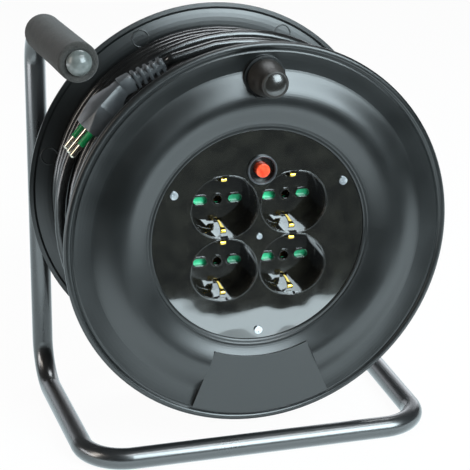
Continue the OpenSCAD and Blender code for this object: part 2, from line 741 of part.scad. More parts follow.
// ---- Cut-out ----
module cutout_body() {
    low = carrier_z - 18;
    color("#202124") on_drum() translate([button_x, button_y, 0]) difference() {
        union() {
            translate([0, 0, carrier_z - 1]) cylinder(h = panel_z - carrier_z + 1, r = cutout_r);
            translate([-11.5, -8.5, low]) cube([23, 17, carrier_z - low]);
        }
        translate([0, 0, panel_z - well_depth]) cylinder(h = 30, r = cutout_well_r);
        translate([0, 0, panel_z - well_depth - button_room])
            cylinder(h = 30, r = button_d / 2 + fit);
    }
}
module cutout_ring() {
    color("#8d9195") on_drum() translate([button_x, button_y, panel_z])
        rotate_extrude() polygon(concat(
            [[cutout_well_r, 0], [ring_d / 2, 0]], arc(ring_d / 2 - 0.6, 1.4, 0.6, 0, 90, 4),
            [[cutout_r - 0.2, 2], [cutout_well_r, 1.4]]));
}
module reset_button() {
    color("#d8261c") on_drum() translate([button_x, button_y, button_top])
        rotate_extrude() polygon(concat([[0, -button_long], [button_d / 2, -button_long]],
            arc(button_d / 2 - 0.7, -0.7, 0.7, 0, 90, 4), [[0, 0]]));
}
module reset_spring() {
    turns = 5;
    n = turns * 8;
    low = panel_z - well_depth - button_room + apart + button_wire_r;
    high = button_top - button_long - apart - button_wire_r;
    line = [for (i = [0 : n]) [button_x + button_spring_r * cos(i * 45),
        button_y + button_spring_r * sin(i * 45), low + (high - low) * i / n]];
    color("#b7babd") on_drum() swept_tube(line, button_wire_r, 6, [for (i = [0 : n]) [0, 0, 1]]);
}
module panel_screws() {
    color("#c3c6c9") on_drum() for (a = screw_angles)
        rotate([0, 0, a]) translate([screw_circle, 0, panel_z]) pan_screw(2.6, 1.1, panel_screw_r,
            panel_screw_long);
}
module centre_screw() {
    color("#c3c6c9") on_drum() translate([0, 0, panel_z])
        pan_screw(1.9, 0.9, centre_screw_r, panel_z - carrier_z + 8);
}

// ---- Crank knob ----
module knob_spindle() {
    color("#9a9da0") on_drum() translate([0, knob_circle, 0]) {
        translate([0, 0, face_z + 0.2]) cylinder(h = 3, r = 5.8);
        translate([0, 0, face_z + 0.2]) cylinder(h = pocket_z + 4 - face_z, r = spindle_d / 2);
    }
}
module knob_nut() {
    color("#9a9da0") on_drum() translate([0, knob_circle, pocket_z + apart]) difference() {
        hexagon(10, 3.2);
        translate([0, 0, -1]) cylinder(h = 9, r = spindle_d / 2 + 0.02);
    }
}
module crank_knob() {
    top = knob_z + knob_len;
    base_r = knob_base_d / 2;
    end_r = knob_end_d / 2;
    // The body narrows slowly at its foot and faster towards its end
    body = [for (i = [0 : 10]) [base_r - (base_r - end_r - 0.5) * pow(i / 10, 1.6),
        knob_z + 0.8 + (knob_len - 6.8) * i / 10]];
    color("#17181a") on_drum() translate([0, knob_circle, 0]) rotate_extrude() polygon(concat(
        [[spindle_d / 2 + 0.05, knob_z], [base_r - 0.8, knob_z]], body,
        arc(end_r - 1.3, top - 1.3, 1.3, 10, 90, 5),
        [[pocket_r, top], [pocket_r, pocket_z], [spindle_d / 2 + 0.05, pocket_z]]));
}
module knob_cap() {
    top = knob_z + knob_len;
    cap_r = pocket_r - 0.05;
    rise = 1.9;
    dome_r = (cap_r * cap_r + rise * rise) / (2 * rise);
    half = asin(cap_r / dome_r);
    color("#0f1012") on_drum() translate([0, knob_circle, 0]) rotate_extrude() polygon(concat(
        [[0, top - 0.6], [spindle_d / 2 + 0.8, top - 0.6], [spindle_d / 2 + 0.8, top - 1],
            [cap_r, top - 1], [cap_r, top]],
        arc(0, top + rise - dome_r, dome_r, 90 - half, 90, 8)));
}

// ---- Cable ----
// Turns t are counted back from the boot: the loose top turns, the climb, then the full layer
function turn_angle(t) = boot_angle - 360 * t;
function turn_r(t) = t < 0.12 ? boot_r + (top_r - boot_r) * ease((t - 0.01) / 0.11)
    : top_r + (layer_r - top_r) * ease((t - climb_start) / (climb_end - climb_start));
function turn_z(t) = t < 0.85 ? plug_z - 24 * ease((t - 0.05) / 0.8)
    : t < climb_start ? -4 + (back_z + 4) * ease((t - 1) / (climb_start - 1))
    : back_z + lay * (t - climb_start);
boot_end = around(boot_r, boot_angle, plug_z);
cable_line = concat([boot_end, boot_end + cable_d * [sin(boot_angle), -cos(boot_angle), 0]],
    [for (i = [1 : round(loops * steps)])
        around(turn_r(i / steps), turn_angle(i / steps), turn_z(i / steps))]);
function to_line(p, a, b) = let (d = b - a, s = max(0, min(1, (p - a) * d / (d * d))))
    norm(p - a - d * s);
least_gap = min([for (i = [0 : len(cable_line) - 1 - steps / 2]) for (j = [i + steps / 2 :
    min(i + 2 * steps, len(cable_line) - 2)]) to_line(cable_line[i], cable_line[j],
    cable_line[j + 1])]) - cable_d;
echo(least_gap_of_the_winding = least_gap);
module cable_winding() {
    color("#1d1e20") on_drum()
        swept_tube(cable_line, cable_r, 6, [for (p = cable_line) [p[0], p[1], 0]]);
}
module cable_pack() {
    last = cable_line[len(cable_line) - 1];
    before = cable_line[len(cable_line) - 2];
    stub = 9;
    d = unit(last - before);
    color("#1d1e20") on_drum() union() {
        rotate_extrude($fn = 120) translate([core_r + 0.2, -face_z + apart])
            square([pack_r - core_r - 0.2, 2 * (face_z - apart)]);
        translate(last) rotate([0, acos(d[2]), atan2(d[1], d[0])]) {
            cylinder(h = stub, r = cable_r);
            translate([-cable_r * 0.8, -cable_r * 2.4, 0]) cube([cable_r * 1.6, cable_r * 2.4, stub]);
        }
    }
}
module at_clamp() {
    rotate([0, 0, lead_angle]) translate([clamp_r, 0, lead_z]) children();
}
module lead_rod(r) {
    translate([-2, 0, 0]) rotate([0, 90, 0]) cylinder(h = core_r - clamp_r + 2, r = r);
}
module clamp_holes(r) {
    for (y = [-1, 1]) translate([clamp_l / 2, y * clamp_pitch / 2, -12]) cylinder(h = 22, r = r);
}
module cable_lead() {
    color("#1d1e20") on_drum() at_clamp() lead_rod(cable_r);
}
module cable_clamp() {
    color("#3d3f42") on_drum() at_clamp() difference() {
        translate([0, -clamp_w / 2, -clamp_gap - clamp_h]) cube([clamp_l, clamp_w, clamp_h]);
        lead_rod(cable_r + 0.02);
        clamp_holes(1.5);
    }
}
module clamp_screws() {
    color("#a9adb0") on_drum() at_clamp() for (y = [-1, 1])
        translate([clamp_l / 2, y * clamp_pitch / 2, -clamp_h - clamp_gap]) mirror([0, 0, 1])
            pan_screw(2.6, 1.8, 1.25, 13);
}

// ---- Plug ----
module on_line(angle, r) {
    rotate([0, 0, angle]) translate([r, 0, plug_z]) rotate([-90, 0, 0]) children();
}
module plug_body() {
    color("#2e2f31") on_drum() {
        on_line(plug_angle, plug_r) translate([0, 0, plug_back]) plug_block();
        on_line(boot_angle, boot_r) ribbed_boot();
    }
}
// The block's x points away from the drum, y along the row of pins and z to the pins
module plug_block() {
    t = plug_t / 2;
    w = plug_w / 2;
    shoulder = plug_len - 15;
    intersection() {
        rotate([90, 0, 0]) translate([0, 0, -w]) linear_extrude(2 * w)
            polygon([[-5.2, 0], [5.2, 0], [5.6, 5], [t, shoulder - 3], [t, plug_len],
                [-t, plug_len], [-t, shoulder - 6], [-5.6, 4]]);
        rotate([0, 90, 0]) translate([0, 0, -t]) linear_extrude(2 * t)
            polygon([[0, -5.6], [0, 5.6], [-5, 6.4], [-shoulder, w], [-plug_len + 1.5, w],
                [-plug_len, w - 1.5], [-plug_len, -w + 1.5], [-plug_len + 1.5, -w],
                [-shoulder, -w], [-5, -6.4]]);
    }
    sphere(r = 5.4);
}
module ribbed_boot() {
    ribs = 6;
    step = (boot_len - 6) / ribs;
    difference() {
        union() {
            cylinder(h = boot_front, r1 = cable_r + 1, r2 = 5.2);
            for (i = [0 : ribs - 1]) translate([0, 0, 0.4 + i * step])
                cylinder(h = step * 0.5, r1 = cable_r + 1.6 + i * 0.32, r2 = cable_r + 1.8 + i * 0.32);
        }
        for (i = [0 : ribs - 1]) translate([0, 0, 0.4 + (i + 0.62) * step])
            for (x = [-1, 1]) translate([x > 0 ? 3.6 : -23.6, -10, 0]) cube([20, 20, step * 0.25]);
    }
}
module plug_pins() {
    color("#cfcfca") on_drum() on_line(plug_angle, plug_r) for (y = [-1, 0, 1])
        translate([0, y * pin_pitch, plug_front]) {
            cylinder(h = pin_len - 1, r = pin_d / 2);
            translate([0, 0, pin_len - 1]) cylinder(h = 1, r1 = pin_d / 2, r2 = pin_d / 2 - 0.8);
        }
}
module pin_sleeves() {
    color("#2fae72") on_drum() on_line(plug_angle, plug_r) for (y = [-1, 1])
        translate([0, y * pin_pitch, plug_front]) difference() {
            cylinder(h = 10, r = pin_d / 2 + 0.05 + 0.3);
            translate([0, 0, -1]) cylinder(h = 12, r = pin_d / 2 + 0.02);
        }
}

frame_tube();
foam_grip();
grip_end_cap();
axle_bracket();
axle_bolt();
axle_jam_nut();
axle_lock_nut();
thrust_washers();
rear_flange();
drum_core();
front_flange();
hub_bushes();
tie_screws();
socket_panel();
earth_clips();
contact_carrier();
line_busbar();
neutral_busbar();
earth_busbar();
cutout_body();
cutout_ring();
reset_button();
reset_spring();
panel_screws();
centre_screw();
knob_spindle();
knob_nut();
crank_knob();
knob_cap();
shutter(sockets[0]);  // shutter_top_left
shutter(sockets[1]);  // shutter_top_right
shutter(sockets[2]);  // shutter_bottom_left
shutter(sockets[3]);  // shutter_bottom_right
shutter_spring(sockets[0]);  // shutter_spring_top_left
shutter_spring(sockets[1]);  // shutter_spring_top_right
shutter_spring(sockets[2]);  // shutter_spring_bottom_left
shutter_spring(sockets[3]);  // shutter_spring_bottom_right
cable_pack();
cable_winding();
cable_lead();
cable_clamp();
clamp_screws();
plug_body();
plug_pins();
pin_sleeves();
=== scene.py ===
import bpy
import bmesh
import math
from mathutils import Matrix, Vector


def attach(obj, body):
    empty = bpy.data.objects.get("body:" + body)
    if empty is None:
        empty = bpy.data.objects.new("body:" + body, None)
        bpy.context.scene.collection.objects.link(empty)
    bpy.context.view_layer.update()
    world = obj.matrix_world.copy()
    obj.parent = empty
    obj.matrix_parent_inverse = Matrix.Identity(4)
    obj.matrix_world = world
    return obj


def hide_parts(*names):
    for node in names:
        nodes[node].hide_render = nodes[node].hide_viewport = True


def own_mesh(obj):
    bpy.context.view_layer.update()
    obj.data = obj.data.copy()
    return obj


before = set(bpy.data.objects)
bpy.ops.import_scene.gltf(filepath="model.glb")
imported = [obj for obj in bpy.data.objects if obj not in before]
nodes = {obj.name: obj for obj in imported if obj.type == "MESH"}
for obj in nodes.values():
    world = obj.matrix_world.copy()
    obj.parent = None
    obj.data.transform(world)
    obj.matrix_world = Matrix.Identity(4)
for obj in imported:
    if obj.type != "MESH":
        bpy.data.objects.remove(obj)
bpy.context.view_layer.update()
print("frame loaded:", len(nodes), "nodes")

mm = 0.001
axleHeight = 147.5    # the drum's axis above the floor, in mm
smoothAngle = math.radians(32)    # edges blunter than this are shaded smooth
corners = ["top_left", "top_right", "bottom_left", "bottom_right"]


def deselectAll():
    if bpy.context.object and bpy.context.object.mode != "OBJECT":
        bpy.ops.object.mode_set(mode="OBJECT")
    bpy.ops.object.select_all(action="DESELECT")


def pickOnly(*pieces):
    # selects these pieces and no others, the first of them active
    deselectAll()
    for piece in pieces:
        piece.select_set(True)
    bpy.context.view_layer.objects.active = pieces[0]


def settle():
    # moves the selected piece's place into its mesh
    bpy.ops.object.transform_apply(location=True, rotation=True, scale=True)


def drumPoint(x, y, z):
    # from the drum's own axes in mm (x right, y up, z to the front) to the frame in metres
    return Vector((x * mm, -z * mm, (axleHeight + y) * mm))


deselectAll()

cameraSetup = {
    "target": (0.00173, 0.0, 0.1282),
    "turn": 16.95,        # degrees to the left of straight on
    "height": 19.55,      # degrees above the level
    "roll": 0.83,
    "distance": 1.0854,
    "lens": 125.2,
    "sensor": 36,
}


def makeCamera():
    turn = math.radians(cameraSetup["turn"])
    height = math.radians(cameraSetup["height"])
    roll = math.radians(cameraSetup["roll"])
    back = Vector((-math.sin(turn) * math.cos(height), -math.cos(turn) * math.cos(height),
                   math.sin(height)))
    side = Vector((math.cos(turn), -math.sin(turn), 0))
    up = back.cross(side)
    right = side * math.cos(roll) + up * math.sin(roll)
    above = up * math.cos(roll) - side * math.sin(roll)
    spot = Vector(cameraSetup["target"]) + back * cameraSetup["distance"]
    bpy.ops.object.camera_add()
    camera = bpy.context.object
    camera.name = "camera"
    camera.data.lens = cameraSetup["lens"]
    camera.data.sensor_width = cameraSetup["sensor"]
    stand = Matrix((right, above, back)).transposed().to_4x4()
    camera.matrix_world = Matrix.Translation(spot) @ stand
    bpy.context.scene.camera = camera


makeCamera()
print("camera placed")

# noise stays mostly between these values, so colour and roughness change between them
patternSetup = {"tintStops": (0.35, 0.65), "glossStops": (0.3, 0.7), "edgeSamples": 6}


def linear(hexColour):
    # sRGB hex to the linear values that the shaders take
    parts = [int(hexColour[i:i + 2], 16) / 255 for i in (1, 3, 5)]
    return [c / 12.92 if c <= 0.04045 else ((c + 0.055) / 1.055) ** 2.4 for c in parts] + [1.0]


def addNode(tree, kind, settings={}, links={}):
    # settings go by property or socket, links by socket
    node = tree.nodes.new(kind)
    for name, value in settings.items():
        if isinstance(name, str) and hasattr(node, name):
            setattr(node, name, value)
        else:
            node.inputs[name].default_value = value
    for name, socket in links.items():
        tree.links.new(socket, node.inputs[name])
    return node


def newMaterial(name, settings):
    material = bpy.data.materials.new(name)
    material.use_nodes = True
    tree = material.node_tree
    tree.nodes.clear()
    shader = addNode(tree, "ShaderNodeBsdfPrincipled", settings)
    addNode(tree, "ShaderNodeOutputMaterial", {}, {"Surface": shader.outputs["BSDF"]})
    return material, tree, shader


def grain(tree, size, detail=3.0, stretch=(1, 1, 1)):
    # noise whose spots are about that many millimetres apart
    points = addNode(tree, "ShaderNodeTexCoord").outputs["Object"]
    place = addNode(tree, "ShaderNodeMapping", {"Scale": stretch}, {"Vector": points})
    return addNode(tree, "ShaderNodeTexNoise", {"Scale": 1 / (size * mm), "Detail": detail},
                   {"Vector": place.outputs["Vector"]}).outputs["Fac"]


def mottle(tree, shader, pattern, tints=None, gloss=None):
    # lets a pattern shift the colour between two tints and the roughness between two values
    if tints:
        ramp = addNode(tree, "ShaderNodeValToRGB", {}, {"Fac": pattern})
        for i in (0, 1):
            ramp.color_ramp.elements[i].position = patternSetup["tintStops"][i]
            ramp.color_ramp.elements[i].color = linear(tints[i])
        tree.links.new(ramp.outputs["Color"], shader.inputs["Base Color"])
    if gloss:
        low, high = patternSetup["glossStops"]
        spread = addNode(tree, "ShaderNodeMapRange", {"From Min": low, "From Max": high,
                                                      "To Min": gloss[0], "To Max": gloss[1]},
                         {"Value": pattern})
        tree.links.new(spread.outputs["Result"], shader.inputs["Roughness"])


def relief(tree, shader, height, depth, edge=0.0):
    # bump of that many millimetres, over edges that are softened by that many millimetres
    bump = addNode(tree, "ShaderNodeBump", {"Strength": 1.0, "Distance": depth * mm},
                   {"Height": height})
    if edge:
        soft = addNode(tree, "ShaderNodeBevel", {"samples": patternSetup["edgeSamples"],
                                                 "Radius": edge * mm})
        tree.links.new(soft.outputs["Normal"], bump.inputs["Normal"])
    for socket in ("Normal", "Coat Normal"):
        tree.links.new(bump.outputs["Normal"], shader.inputs[socket])


# the texture that a mould, a die or a roll leaves is 0.05 to 0.2 mm, too fine to show, so it is
# drawn at 0.4 to 1.1 mm, and the foam's pores of 0.4 mm at 0.9 mm


def powderCoatedSteel():
    # polyester powder baked on steel tube: deep black gloss with a faint orange peel
    material, tree, shader = newMaterial("powderCoatedSteel", {
        "Base Color": linear("#1d1e1f"), "IOR": 1.6,
        "Coat Weight": 1.0, "Coat Roughness": 0.22, "Coat IOR": 1.6})
    mottle(tree, shader, grain(tree, 30, 4.0), gloss=(0.26, 0.36))
    relief(tree, shader, grain(tree, 2.2, 1.0), 0.006)
    return material


def nitrileFoam():
    # closed-cell foam rubber: dull, soft black with fine open pores and a dusty sheen
    material, tree, shader = newMaterial("nitrileFoam", {
        "Roughness": 0.92, "Specular IOR Level": 0.3, "Sheen Weight": 0.12, "Sheen Roughness": 0.6})
    pores = grain(tree, 0.9, 5.0)
    patches = addNode(tree, "ShaderNodeMath", {"operation": "MULTIPLY", 1: 0.3},
                      {0: grain(tree, 6)})
    mixed = addNode(tree, "ShaderNodeMath", {"operation": "MULTIPLY_ADD", 1: 0.7},
                    {0: pores, 2: patches.outputs[0]})
    mottle(tree, shader, mixed.outputs[0], tints=("#1b1a19", "#3b3936"))
    relief(tree, shader, pores, 0.35)
    return material


def greyPolyamide():
    # moulded nylon plug, grey and smooth with a soft shine
    material, tree, shader = newMaterial("greyPolyamide", {"Roughness": 0.2})
    mottle(tree, shader, grain(tree, 4), tints=("#525654", "#666a68"))
    relief(tree, shader, grain(tree, 0.5, 2.0), 0.01, 0.3)
    return material


def zincPlatedSteel():
    # blue-white zinc over steel: bright, a little cloudy
    material, tree, shader = newMaterial("zincPlatedSteel", {"Metallic": 1.0})
    mottle(tree, shader, grain(tree, 3, 4.0), ("#b2b7bc", "#dadde0"), (0.3, 0.46))
    relief(tree, shader, grain(tree, 0.4, 2.0), 0.01, 0.2)
    return material


def blackPolypropylene():
    # moulded polypropylene with a spark-eroded face: black, satin, with faint flow clouds
    material, tree, shader = newMaterial("blackPolypropylene", {"IOR": 1.57})
    mottle(tree, shader, grain(tree, 38, 5.0), ("#0d0f0f", "#141616"), (0.28, 0.36))
    relief(tree, shader, grain(tree, 0.45, 2.0), 0.012, 0.35)
    return material


def polishedAbs():
    # ABS from a polished mould: near black, mirror-like but a little wavy
    material, tree, shader = newMaterial("polishedAbs", {
        "IOR": 1.6, "Coat Weight": 1.0, "Coat Roughness": 0.03, "Coat IOR": 1.6})
    mottle(tree, shader, grain(tree, 12, 5.0), ("#0b0a07", "#1b1a15"), (0.03, 0.12))
    relief(tree, shader, grain(tree, 23, 0.3), 0.75, 0.3)
    return material


def phenolic():
    # pressed phenolic, as on knobs and switch housings: black with a clear shine
    material, tree, shader = newMaterial("phenolic", {
        "Base Color": linear("#1b1916"), "Coat Weight": 0.5, "Coat Roughness": 0.17})
    cloud = grain(tree, 9, 4.0)
    mottle(tree, shader, cloud, gloss=(0.22, 0.32))
    relief(tree, shader, cloud, 0.015, 0.3)
    return material


def dulledPhenolic():
    # the same phenolic, rubbed dull by the hand on the crank knob, a little brown
    material, tree, shader = newMaterial("dulledPhenolic", {"Specular IOR Level": 0.4})
    mottle(tree, shader, grain(tree, 6, 4.0), ("#1b1815", "#27231f"), (0.42, 0.56))
    relief(tree, shader, grain(tree, 0.6, 2.0), 0.012, 0.4)
    return material


def rawPolyamide():
    # uncoloured nylon, warm white and slightly see-through
    material, tree, shader = newMaterial("rawPolyamide", {
        "Roughness": 0.45, "Subsurface Weight": 0.2, "Subsurface Radius": (0.002, 0.0015, 0.001)})
    mottle(tree, shader, grain(tree, 5), tints=("#c3bdac", "#d8d3c6"))
    return material


def rolledBrass():
    # brass strip, rolled bright, with streaks along the roll
    material, tree, shader = newMaterial("rolledBrass", {"Metallic": 1.0})
    streak = grain(tree, 0.8, 3.0, (1, 0.15, 0.15))
    mottle(tree, shader, streak, ("#c8a53c", "#e8cc6c"), (0.1, 0.18))
    return material


def tinBronze():
    # bronze strip inside the drum, dulled by its oxide
    material, tree, shader = newMaterial("tinBronze", {"Metallic": 1.0})
    mottle(tree, shader, grain(tree, 6, 4.0), ("#4a3620", "#7c5e33"), (0.34, 0.5))
    return material


def greyAbs():
    # satin grey ABS trim
    material, tree, shader = newMaterial("greyAbs", {"Roughness": 0.3})
    mottle(tree, shader, grain(tree, 7), tints=("#383b3e", "#424548"))
    relief(tree, shader, grain(tree, 0.5, 2.0), 0.01, 0.25)
    return material


def redUrea():
    # pressed urea, bright red and glossy
    material, tree, shader = newMaterial("redUrea", {
        "Roughness": 0.18, "Coat Weight": 0.3, "Coat Roughness": 0.1,
        "Subsurface Weight": 0.08, "Subsurface Radius": (0.002, 0.0006, 0.0004)})
    mottle(tree, shader, grain(tree, 3), tints=("#d03a20", "#e45632"))
    relief(tree, shader, grain(tree, 0.6, 2.0), 0.01, 0.25)
    return material


def greenPolycarbonate():
    # green polycarbonate shutters, smooth, with faint swirls from the mould
    material, tree, shader = newMaterial("greenPolycarbonate", {
        "Roughness": 0.2, "Coat Weight": 0.4, "Coat Roughness": 0.1})
    cloud = grain(tree, 4)
    mottle(tree, shader, cloud, tints=("#1fae72", "#36c88c"))
    relief(tree, shader, cloud, 0.02, 0.2)
    return material


def springSteel():
    # drawn spring wire, dark and polished by the die
    material, tree, shader = newMaterial("springSteel", {"Base Color": linear("#8e9092"),
                                                         "Metallic": 1.0})
    mottle(tree, shader, grain(tree, 1.5), gloss=(0.22, 0.4))
    return material


def pvcSheath():
    # extruded PVC sheath: black, half gloss, with long die lines and faint handling haze
    material, tree, shader = newMaterial("pvcSheath", {"IOR": 1.62})
    points = addNode(tree, "ShaderNodeUVMap", {"uv_map": "along"}).outputs["UV"]
    # in metres: haze about 17 mm across, lines 1.1 mm apart and 170 mm long
    haze = addNode(tree, "ShaderNodeTexNoise", {"Scale": 60.0, "Detail": 4.0},
                   {"Vector": points}).outputs["Fac"]
    place = addNode(tree, "ShaderNodeMapping", {"Scale": (900, 6, 1)}, {"Vector": points})
    lines = addNode(tree, "ShaderNodeTexNoise", {"Scale": 1.0, "Detail": 2.0},
                    {"Vector": place.outputs["Vector"]}).outputs["Fac"]
    mottle(tree, shader, haze, ("#111111", "#1a1a19"), (0.18, 0.28))
    relief(tree, shader, lines, 0.02)
    return material


def softPvc():
    # soft PVC moulded over the plug: dark grey, dull satin
    material, tree, shader = newMaterial("softPvc", {"IOR": 1.5})
    mottle(tree, shader, grain(tree, 8, 4.0), ("#424446", "#525456"), (0.3, 0.4))
    relief(tree, shader, grain(tree, 0.5, 2.0), 0.02, 0.35)
    return material


def nickelPlatedBrass():
    # turned brass pins under nickel: pale, warm and bright, a little uneven
    material, tree, shader = newMaterial("nickelPlatedBrass", {"Metallic": 1.0})
    cloud = grain(tree, 2)
    mottle(tree, shader, cloud, ("#cfc6b0", "#e8e3d6"), (0.13, 0.28))
    relief(tree, shader, cloud, 0.01, 0.2)
    return material


def greenPolyamide():
    # nylon sleeves on the outer pins, smooth green
    material, tree, shader = newMaterial("greenPolyamide", {"Roughness": 0.3})
    mottle(tree, shader, grain(tree, 3), tints=("#0d7a40", "#199a56"))
    return material


def dress(piece, material):
    piece.data.materials.clear()
    piece.data.materials.append(material)


def paint(material, *names):
    for name in names:
        dress(nodes[name], material)
        for face in nodes[name].data.polygons:
            face.material_index = 0


paint(powderCoatedSteel(), "frame_tube", "axle_bracket")
paint(greyPolyamide(), "grip_end_cap")
paint(zincPlatedSteel(), "axle_bolt", "axle_jam_nut", "axle_lock_nut", "thrust_washers",
      "tie_screws", "panel_screws", "centre_screw", "knob_spindle", "knob_nut", "clamp_screws")
paint(blackPolypropylene(), "rear_flange", "front_flange", "drum_core", "cable_clamp")
paint(polishedAbs(), "socket_panel")
paint(rawPolyamide(), "hub_bushes")
paint(tinBronze(), "line_busbar", "neutral_busbar", "earth_busbar")
paint(phenolic(), "cutout_body", "contact_carrier", "knob_cap")
paint(dulledPhenolic(), "crank_knob")
paint(greyAbs(), "cutout_ring")
paint(redUrea(), "reset_button")
paint(greenPolycarbonate(), *["shutter_" + corner for corner in corners])
paint(nickelPlatedBrass(), "plug_pins")
paint(greenPolyamide(), "pin_sleeves")
print("materials made")


def placeOnDrum(piece, angle, radius, z):
    # x points away from the drum's axis and z round it, towards the pins
    turn = math.radians(angle)
    away = Vector((math.cos(turn), 0, math.sin(turn)))
    onward = Vector((-math.sin(turn), 0, math.cos(turn)))
    place = Matrix((away, Vector((0, 1, 0)), onward)).transposed().to_4x4()
    place.translation = drumPoint(radius * math.cos(turn), radius * math.sin(turn), z)
    piece.matrix_world = place
    pickOnly(piece)
    settle()


def applyAll(piece):
    pickOnly(piece)
    for modifier in list(piece.modifiers):
        bpy.ops.object.modifier_apply(modifier=modifier.name)


def copyOf(piece):
    copy = piece.copy()
    copy.data = piece.data.copy()
    bpy.context.scene.collection.objects.link(copy)
    return copy


def joinAll(pieces):
    pickOnly(*pieces)
    bpy.ops.object.join()
    return pieces[0]


def pickNothing(mesh):
    for item in list(mesh.verts) + list(mesh.edges) + list(mesh.faces):
        item.select = False


def pickEnd(piece, side):
    # picks the faces at the end along z, 1 for the far one and -1 for the near one
    mesh = bmesh.from_edit_mesh(piece.data)
    pickNothing(mesh)
    for face in mesh.faces:
        if face.normal.z * side > 0.9:
            face.select = True
    mesh.select_flush(True)
    bmesh.update_edit_mesh(piece.data)


def crownEnd(piece, side, inset, rise):
    # the end's flat face is drawn in and pushed out; sizes in mm
    pickEnd(piece, side)
    bpy.ops.mesh.inset(thickness=inset * mm)
    bpy.ops.transform.translate(value=(0, 0, side * rise * mm))
    bpy.ops.object.mode_set(mode="OBJECT")


def boxAt(low, high):
    # a cube with its place in its mesh, left in edit mode; sizes in mm
    deselectAll()
    bpy.ops.mesh.primitive_cube_add(size=1, location=(0, 0, 0))
    piece = bpy.context.object
    piece.scale = [(b - a) * mm for a, b in zip(low, high)]
    piece.location = [(a + b) / 2 * mm for a, b in zip(low, high)]
    settle()
    bpy.ops.object.mode_set(mode="EDIT")
    bpy.ops.mesh.select_mode(type="FACE")
    return piece


def cutCorner(points, outward):
    # slices a corner off along the plane through three points in mm
    a, b, c = [Vector(p) * mm for p in points]
    normal = (b - a).cross(c - a).normalized()
    if normal.dot(Vector(outward)) < 0:
        normal = -normal
    bpy.ops.mesh.select_all(action="SELECT")
    bpy.ops.mesh.bisect(plane_co=a, plane_no=normal, clear_outer=True, use_fill=True)


def roundEdges(piece, width, segments=2, angle=25):
    bevel = piece.modifiers.new("edges", "BEVEL")
    bevel.width = width * mm
    bevel.segments = segments
    bevel.limit_method = "ANGLE"
    bevel.angle_limit = math.radians(angle)
    applyAll(piece)
    bpy.ops.object.shade_smooth_by_angle(angle=smoothAngle)


plugSize = {
    "angle": 139.0,       # where the block lies on the drum, in degrees from the right
    "radius": 119.4,      # from the drum's axis, in mm
    "z": 20.0,            # from the drum's middle towards the front
    "back": -18.0,        # along the block from its middle: neck, end of the taper, pins' face
    "shoulder": -1.0,
    "front": 16.0,
    "thick": 14.6,
    "wide": 24.4,
    "neck": (9.6, 10.6),
    "neckLong": 4.5,
    "flare": 1.15,        # how much wider the taper ends than the neck
    "neckEnd": (0.98, 0.87),    # what the neck's thickness and width keep at its end
    "corner": (5.2, 6.8),       # what the long facets take off at the pins' face
    "cornerPast": 0.4,    # they run out this far outside the block
    "cornerEnd": 1.0,     # and this far on the pins' side of the shoulder
    "neckCorner": 1.6,    # the same for the facets that run back to the neck
    "neckPast": 0.2,
    "neckTilt": 0.3,      # roughly how far those face backwards
    "edge": 0.55,
}
bootSize = {
    "angle": 116.5,
    "radius": 117.2,
    "long": 29.0,
    "core": {"radius": 4.0, "sides": 28, "flare": 1.15, "edge": 0.4},
    "ribs": 5,
    "start": 0.6,         # of the first rib
    "pitch": 4.5,
    "rib": {"half": 4.7, "thick": 2.2, "inset": 0.9, "rise": 0.25, "edge": 0.7},
    "grow": (0.92, 0.045),      # size of the first rib, and what each adds towards the plug
    "rail": {"out": 4.1, "half": (1.2, 0.5), "start": 0.8, "past": 3.0, "edge": 0.2},
    "collar": {"half": (5.1, 5.4), "gap": 1.6, "past": 1.5, "inset": 0.8, "rise": 0.7,
               "edge": 0.6},
}


def makePlugBlock():
    size = plugSize
    x, y = size["thick"] / 2, size["wide"] / 2
    neckX, neckY = size["neck"][0] / 2, size["neck"][1] / 2
    back, shoulder, front = size["back"], size["shoulder"], size["front"]
    block = boxAt((-x, -y, shoulder), (x, y, front))
    # the taper to the neck, then the neck itself
    pickEnd(block, -1)
    for step, grow in ((back + size["neckLong"] - shoulder, (neckX / x, neckY / y * size["flare"])),
                       (-size["neckLong"], size["neckEnd"])):
        bpy.ops.mesh.extrude_region_move(TRANSFORM_OT_translate={"value": (0, 0, step * mm)})
        bpy.ops.transform.resize(value=(*grow, 1))
    # the long faces between the broad sides and the narrow ones widen towards the pins
    cutX, cutY = size["corner"]
    past, cut, neckPast = size["cornerPast"], size["neckCorner"], size["neckPast"]
    for side in (-1, 1):
        for face in (-1, 1):
            cutCorner([(face * x, side * (y - cutY), front), (face * (x - cutX), side * y, front),
                       (face * (x + past), side * (y + past), shoulder + size["cornerEnd"])],
                      (face, side, 0))
            cutCorner([(face * (neckX - cut), side * neckY, back),
                       (face * neckX, side * (neckY - cut), back),
                       (face * (x + neckPast), side * (y + neckPast), shoulder)],
                      (face, side, -size["neckTilt"]))
    bpy.ops.object.mode_set(mode="OBJECT")
    roundEdges(block, size["edge"])
    placeOnDrum(block, size["angle"], size["radius"], size["z"])
    return block


def makeBootCore():
    # the core is thin, so that the gaps between the ribs are deep
    core, long = bootSize["core"], bootSize["long"]
    deselectAll()
    bpy.ops.mesh.primitive_cylinder_add(vertices=core["sides"], radius=core["radius"] * mm,
                                        depth=long * mm, location=(0, 0, long / 2 * mm))
    piece = bpy.context.object
    settle()
    bpy.ops.object.mode_set(mode="EDIT")
    bpy.ops.mesh.select_mode(type="FACE")
    pickEnd(piece, 1)
    bpy.ops.transform.resize(value=(core["flare"], core["flare"], 1))
    crownEnd(piece, -1, core["edge"], core["edge"])
    bpy.ops.object.shade_smooth_by_angle(angle=smoothAngle)
    return piece


